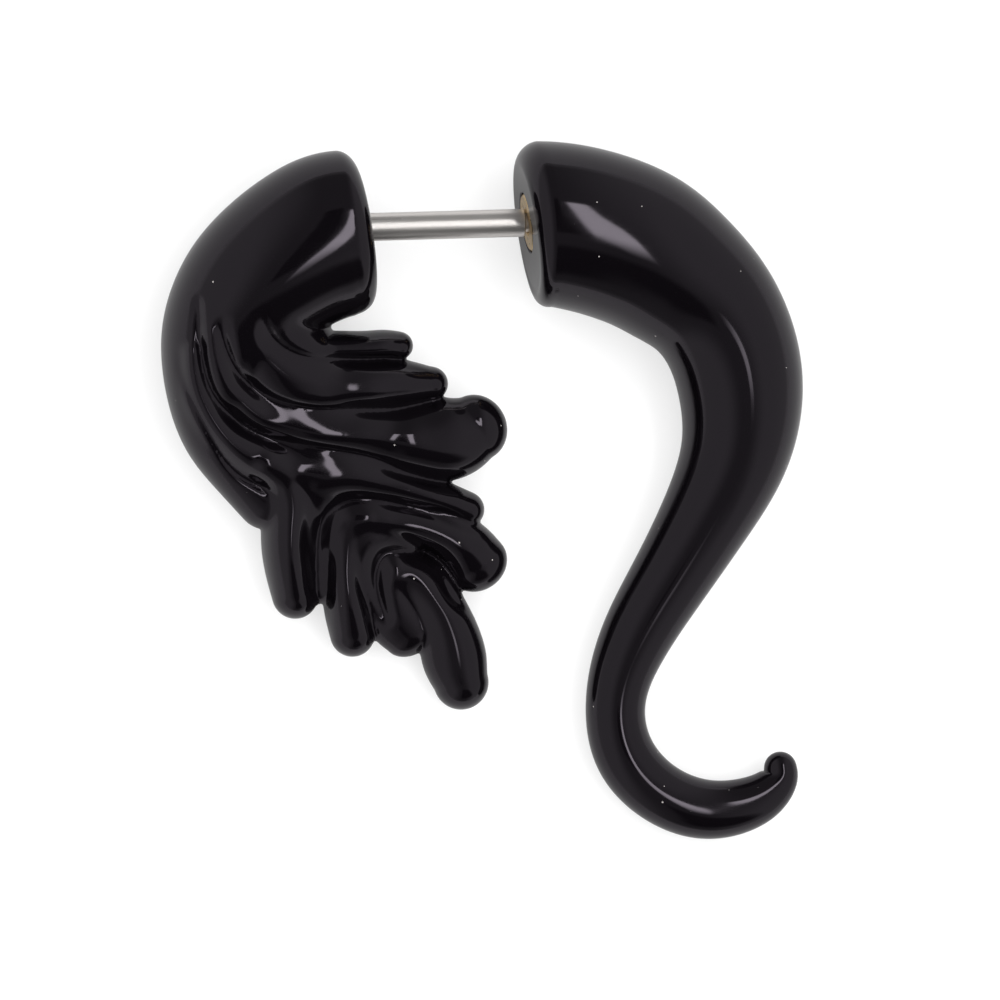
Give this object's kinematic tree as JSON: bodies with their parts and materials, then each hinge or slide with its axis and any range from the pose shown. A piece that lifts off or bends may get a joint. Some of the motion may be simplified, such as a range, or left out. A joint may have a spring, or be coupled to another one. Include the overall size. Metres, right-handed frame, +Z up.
{
  "type": "fake spiral ear taper",
  "caption": "Black fake spiral ear taper: a carved leaf front and a curled S-shaped tail joined by a thin steel screw post, lying flat.",
  "frame": {"origin": "middle of the bare steel post, on its axis", "axes": "+X along the post from the carved front to the tail, +Y away from the curled ends, +Z up from the surface that it lies on"},
  "size_m": [0.0278, 0.0303, 0.0071],
  "materials": {
    "black_acrylic": "gloss",
    "steel": "brushed lengthwise",
    "brass": "machined"
  },
  "bodies": {
    "front": {"front_leaf": "black_acrylic", "post": "steel"},
    "sleeve": {"threaded_insert": "brass"},
    "tail": {"tail_taper": "black_acrylic"}
  },
  "joints": [
    {"name": "sleeve_advance", "type": "slide", "parent": "front", "child": "sleeve", "axis": [1, 0, 0], "range_m": [0, 0.005]},
    {"name": "tail_turn", "type": "hinge", "parent": "sleeve", "child": "tail", "pos_m": [0.0035, 0, 0], "axis": [1, 0, 0], "range_deg": [0, 7200]}
  ],
  "couplings": [
    {"joint": "sleeve_advance", "follows": "tail_turn", "m_per_rad": 0.000039789}
  ]
}
